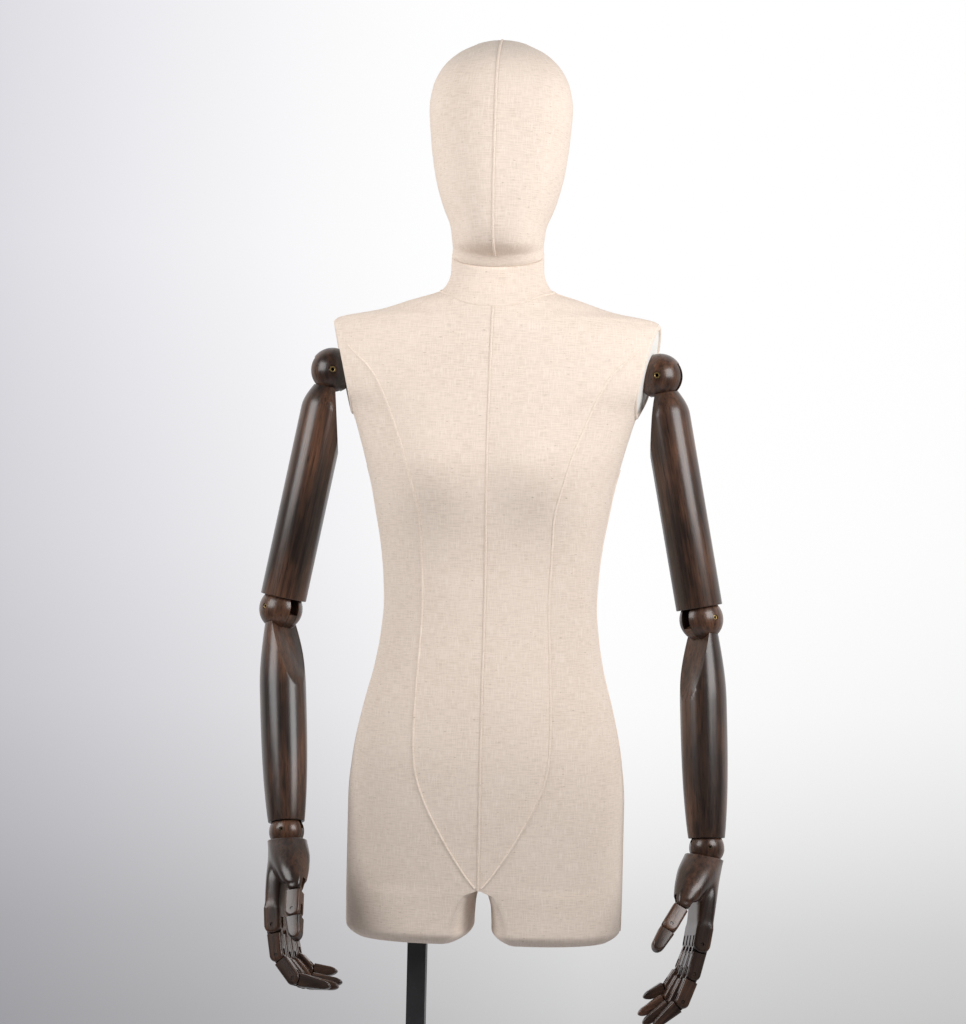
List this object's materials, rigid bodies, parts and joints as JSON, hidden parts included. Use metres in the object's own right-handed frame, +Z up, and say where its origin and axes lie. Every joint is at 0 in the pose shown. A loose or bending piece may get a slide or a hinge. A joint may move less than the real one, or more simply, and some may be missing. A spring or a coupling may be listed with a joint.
{
  "type": "articulated torso mannequin",
  "caption": "Linen-covered torso mannequin with egg-shaped head and jointed dark wooden arms and hands, standing on a square pole and flat base plate.",
  "frame": {"origin": "middle of the base plate's underside, on the floor", "axes": "+Z up, the figure faces -Y, +X to the figure's left"},
  "size_m": [0.5615, 0.3543, 1.778],
  "materials": {
    "linen": "natural linen over a moulded shell",
    "walnut": "dark walnut stain, satin lacquer",
    "beech": "plain unstained wood, hidden",
    "brass": "polished tube rivets",
    "steel": "plain steel, hidden",
    "black_steel": "black powder coat, matt"
  },
  "bodies": {
    "stand_torso": {"base_plate": "black_steel", "pole_collar": "black_steel", "pole": "black_steel", "pole_block": "beech", "torso_shell": "linen", "neck_plug": "beech", "left_shoulder_sleeve": "steel", "right_shoulder_sleeve": "steel"},
    "head": {"head": "linen"},
    "left_shoulder": {"left_shoulder_block": "walnut", "left_shoulder_stud": "steel", "left_shoulder_pin": "brass"},
    "left_upper_arm": {"left_upper_arm": "walnut"},
    "left_elbow": {"left_elbow_ball": "walnut", "left_elbow_stud": "steel", "left_elbow_pin": "brass"},
    "left_forearm": {"left_forearm": "walnut"},
    "left_wrist": {"left_wrist_ball": "walnut", "left_wrist_pin": "brass"},
    "left_palm": {"left_palm": "walnut"},
    "left_thumb_proximal": {"left_thumb_proximal": "walnut"},
    "left_thumb_distal": {"left_thumb_distal": "walnut"},
    "left_index_proximal": {"left_index_proximal": "walnut"},
    "left_index_middle": {"left_index_middle": "walnut"},
    "left_index_distal": {"left_index_distal": "walnut"},
    "left_middle_proximal": {"left_middle_proximal": "walnut"},
    "left_middle_middle": {"left_middle_middle": "walnut"},
    "left_middle_distal": {"left_middle_distal": "walnut"},
    "left_ring_proximal": {"left_ring_proximal": "walnut"},
    "left_ring_middle": {"left_ring_middle": "walnut"},
    "left_ring_distal": {"left_ring_distal": "walnut"},
    "left_little_proximal": {"left_little_proximal": "walnut"},
    "left_little_middle": {"left_little_middle": "walnut"},
    "left_little_distal": {"left_little_distal": "walnut"},
    "right_shoulder": {"right_shoulder_block": "walnut", "right_shoulder_stud": "steel", "right_shoulder_pin": "brass"},
    "right_upper_arm": {"right_upper_arm": "walnut"},
    "right_elbow": {"right_elbow_ball": "walnut", "right_elbow_stud": "steel", "right_elbow_pin": "brass"},
    "right_forearm": {"right_forearm": "walnut"},
    "right_wrist": {"right_wrist_ball": "walnut", "right_wrist_pin": "brass"},
    "right_palm": {"right_palm": "walnut"},
    "right_thumb_proximal": {"right_thumb_proximal": "walnut"},
    "right_thumb_distal": {"right_thumb_distal": "walnut"},
    "right_index_proximal": {"right_index_proximal": "walnut"},
    "right_index_middle": {"right_index_middle": "walnut"},
    "right_index_distal": {"right_index_distal": "walnut"},
    "right_middle_proximal": {"right_middle_proximal": "walnut"},
    "right_middle_middle": {"right_middle_middle": "walnut"},
    "right_middle_distal": {"right_middle_distal": "walnut"},
    "right_ring_proximal": {"right_ring_proximal": "walnut"},
    "right_ring_middle": {"right_ring_middle": "walnut"},
    "right_ring_distal": {"right_ring_distal": "walnut"},
    "right_little_proximal": {"right_little_proximal": "walnut"},
    "right_little_middle": {"right_little_middle": "walnut"},
    "right_little_distal": {"right_little_distal": "walnut"}
  },
  "joints": [
    {"name": "head_turn", "type": "hinge", "parent": "stand_torso", "child": "head", "pos_m": [0, 0.015, 1.526], "axis": [0, -0.3665, 0.9304], "range_deg": [-80, 80]},
    {"name": "left_shoulder_swing", "type": "hinge", "parent": "stand_torso", "child": "left_shoulder", "pos_m": [0.182, 0.006, 1.385], "axis": [-0.9686, 0.1361, 0.2079], "range_deg": [-40, 90]},
    {"name": "left_shoulder_raise", "type": "hinge", "parent": "left_shoulder", "child": "left_upper_arm", "pos_m": [0.19566, 0.00408, 1.38207], "axis": [-0.1392, -0.9903, 0], "range_deg": [-4, 66]},
    {"name": "left_elbow_twist", "type": "hinge", "parent": "left_upper_arm", "child": "left_elbow", "pos_m": [0.25083, -0.00367, 1.09543], "axis": [-0.189, 0.0266, 0.9816], "range_deg": [-30, 90]},
    {"name": "left_elbow_bend", "type": "hinge", "parent": "left_elbow", "child": "left_forearm", "pos_m": [0.25083, -0.00367, 1.09543], "axis": [-0.6552, 0.7412, -0.1462], "range_deg": [-11, 75]},
    {"name": "left_wrist_twist", "type": "hinge", "parent": "left_forearm", "child": "left_wrist", "pos_m": [0.26314, -0.04496, 0.83092], "axis": [-0.0459, 0.1541, 0.987], "range_deg": [-60, 60]},
    {"name": "left_wrist_bend", "type": "hinge", "parent": "left_wrist", "child": "left_palm", "pos_m": [0.26314, -0.04496, 0.83092], "axis": [-0.1904, 0.9686, -0.16], "range_deg": [-47, 28]},
    {"name": "left_thumb_proximal_fold", "type": "hinge", "parent": "left_palm", "child": "left_thumb_proximal", "pos_m": [0.23772, -0.10269, 0.77422], "axis": [-0.2302, 0.8621, -0.4515], "range_deg": [-22, 18]},
    {"name": "left_thumb_distal_fold", "type": "hinge", "parent": "left_thumb_proximal", "child": "left_thumb_distal", "pos_m": [0.22292, -0.11938, 0.7499], "axis": [-0.2302, 0.8621, -0.4515], "range_deg": [0, 50]},
    {"name": "left_index_proximal_fold", "type": "hinge", "parent": "left_palm", "child": "left_index_proximal", "pos_m": [0.25885, -0.09191, 0.72526], "axis": [-0.1904, 0.9686, -0.16], "range_deg": [-5, 55]},
    {"name": "left_index_middle_fold", "type": "hinge", "parent": "left_index_proximal", "child": "left_index_middle", "pos_m": [0.25035, -0.09907, 0.69207], "axis": [-0.1904, 0.9686, -0.16], "range_deg": [-7, 68]},
    {"name": "left_index_distal_fold", "type": "hinge", "parent": "left_index_middle", "child": "left_index_distal", "pos_m": [0.23822, -0.10655, 0.66121], "axis": [-0.1904, 0.9686, -0.16], "range_deg": [-26, 29]},
    {"name": "left_middle_proximal_fold", "type": "hinge", "parent": "left_palm", "child": "left_middle_proximal", "pos_m": [0.25533, -0.07399, 0.7223], "axis": [-0.1904, 0.9686, -0.16], "range_deg": [-8, 52]},
    {"name": "left_middle_middle_fold", "type": "hinge", "parent": "left_middle_proximal", "child": "left_middle_middle", "pos_m": [0.24451, -0.08182, 0.68779], "axis": [-0.1904, 0.9686, -0.16], "range_deg": [-9, 66]},
    {"name": "left_middle_distal_fold", "type": "hinge", "parent": "left_middle_middle", "child": "left_middle_distal", "pos_m": [0.22928, -0.08985, 0.65732], "axis": [-0.1904, 0.9686, -0.16], "range_deg": [-28, 27]},
    {"name": "left_ring_proximal_fold", "type": "hinge", "parent": "left_palm", "child": "left_ring_proximal", "pos_m": [0.2518, -0.05607, 0.71934], "axis": [-0.1904, 0.9686, -0.16], "range_deg": [-10, 50]},
    {"name": "left_ring_middle_fold", "type": "hinge", "parent": "left_ring_proximal", "child": "left_ring_middle", "pos_m": [0.24044, -0.06363, 0.68711], "axis": [-0.1904, 0.9686, -0.16], "range_deg": [-11, 64]},
    {"name": "left_ring_distal_fold", "type": "hinge", "parent": "left_ring_middle", "child": "left_ring_distal", "pos_m": [0.22408, -0.07141, 0.65952], "axis": [-0.1904, 0.9686, -0.16], "range_deg": [-30, 25]},
    {"name": "left_little_proximal_fold", "type": "hinge", "parent": "left_palm", "child": "left_little_proximal", "pos_m": [0.24828, -0.03816, 0.71638], "axis": [-0.1904, 0.9686, -0.16], "range_deg": [-12, 48]},
    {"name": "left_little_middle_fold", "type": "hinge", "parent": "left_little_proximal", "child": "left_little_middle", "pos_m": [0.23829, -0.04432, 0.69096], "axis": [-0.1904, 0.9686, -0.16], "range_deg": [-12, 63]},
    {"name": "left_little_distal_fold", "type": "hinge", "parent": "left_little_middle", "child": "left_little_distal", "pos_m": [0.22373, -0.05078, 0.66916], "axis": [-0.1904, 0.9686, -0.16], "range_deg": [-32, 23]},
    {"name": "right_shoulder_swing", "type": "hinge", "parent": "stand_torso", "child": "right_shoulder", "pos_m": [-0.182, 0.006, 1.385], "axis": [-0.9686, -0.1361, -0.2079], "range_deg": [-40, 90]},
    {"name": "right_shoulder_raise", "type": "hinge", "parent": "right_shoulder", "child": "right_upper_arm", "pos_m": [-0.19566, 0.00408, 1.38207], "axis": [-0.1392, 0.9903, 0], "range_deg": [-4, 66]},
    {"name": "right_elbow_twist", "type": "hinge", "parent": "right_upper_arm", "child": "right_elbow", "pos_m": [-0.25034, -0.0036, 1.09534], "axis": [-0.1873, -0.0263, -0.982], "range_deg": [-30, 90]},
    {"name": "right_elbow_bend", "type": "hinge", "parent": "right_elbow", "child": "right_forearm", "pos_m": [-0.25034, -0.0036, 1.09534], "axis": [-0.6554, -0.7412, 0.1449], "range_deg": [-21, 65]},
    {"name": "right_wrist_twist", "type": "hinge", "parent": "right_forearm", "child": "right_wrist", "pos_m": [-0.22692, -0.07461, 0.83798], "axis": [0.0874, -0.2649, -0.9603], "range_deg": [-60, 60]},
    {"name": "right_wrist_bend", "type": "hinge", "parent": "right_wrist", "child": "right_palm", "pos_m": [-0.22692, -0.07461, 0.83798], "axis": [-0.1925, -0.9503, 0.2447], "range_deg": [-35, 40]},
    {"name": "right_thumb_proximal_fold", "type": "hinge", "parent": "right_palm", "child": "right_thumb_proximal", "pos_m": [-0.20641, -0.13683, 0.78412], "axis": [-0.2101, -0.8219, 0.5294], "range_deg": [-2, 38]},
    {"name": "right_thumb_distal_fold", "type": "hinge", "parent": "right_thumb_proximal", "child": "right_thumb_distal", "pos_m": [-0.2045, -0.15501, 0.75664], "axis": [-0.2101, -0.8219, 0.5294], "range_deg": [-6, 44]},
    {"name": "right_index_proximal_fold", "type": "hinge", "parent": "right_palm", "child": "right_index_proximal", "pos_m": [-0.23078, -0.12926, 0.73607], "axis": [-0.1925, -0.9503, 0.2447], "range_deg": [-6, 54]},
    {"name": "right_index_middle_fold", "type": "hinge", "parent": "right_index_proximal", "child": "right_index_middle", "pos_m": [-0.22416, -0.13908, 0.70314], "axis": [-0.1925, -0.9503, 0.2447], "range_deg": [-29, 46]},
    {"name": "right_index_distal_fold", "type": "hinge", "parent": "right_index_middle", "child": "right_index_distal", "pos_m": [-0.20267, -0.14965, 0.67901], "axis": [-0.1925, -0.9503, 0.2447], "range_deg": [-39, 16]},
    {"name": "right_middle_proximal_fold", "type": "hinge", "parent": "right_palm", "child": "right_middle_proximal", "pos_m": [-0.22722, -0.11168, 0.73155], "axis": [-0.1925, -0.9503, 0.2447], "range_deg": [-7, 53]},
    {"name": "right_middle_middle_fold", "type": "hinge", "parent": "right_middle_proximal", "child": "right_middle_middle", "pos_m": [-0.2196, -0.12215, 0.69689], "axis": [-0.1925, -0.9503, 0.2447], "range_deg": [-31, 44]},
    {"name": "right_middle_distal_fold", "type": "hinge", "parent": "right_middle_middle", "child": "right_middle_distal", "pos_m": [-0.19613, -0.13298, 0.67329], "axis": [-0.1925, -0.9503, 0.2447], "range_deg": [-40, 15]},
    {"name": "right_ring_proximal_fold", "type": "hinge", "parent": "right_palm", "child": "right_ring_proximal", "pos_m": [-0.22366, -0.0941, 0.72702], "axis": [-0.1925, -0.9503, 0.2447], "range_deg": [-8, 52]},
    {"name": "right_ring_middle_fold", "type": "hinge", "parent": "right_ring_proximal", "child": "right_ring_middle", "pos_m": [-0.21587, -0.10408, 0.69439], "axis": [-0.1925, -0.9503, 0.2447], "range_deg": [-32, 43]},
    {"name": "right_ring_distal_fold", "type": "hinge", "parent": "right_ring_middle", "child": "right_ring_distal", "pos_m": [-0.19293, -0.11425, 0.67296], "axis": [-0.1925, -0.9503, 0.2447], "range_deg": [-41, 14]},
    {"name": "right_little_proximal_fold", "type": "hinge", "parent": "right_palm", "child": "right_little_proximal", "pos_m": [-0.22009, -0.07652, 0.72249], "axis": [-0.1925, -0.9503, 0.2447], "range_deg": [-9, 51]},
    {"name": "right_little_middle_fold", "type": "hinge", "parent": "right_little_proximal", "child": "right_little_middle", "pos_m": [-0.2134, -0.08457, 0.69652], "axis": [-0.1925, -0.9503, 0.2447], "range_deg": [-33, 42]},
    {"name": "right_little_distal_fold", "type": "hinge", "parent": "right_little_middle", "child": "right_little_distal", "pos_m": [-0.19398, -0.09284, 0.67968], "axis": [-0.1925, -0.9503, 0.2447], "range_deg": [-42, 13]}
  ]
}
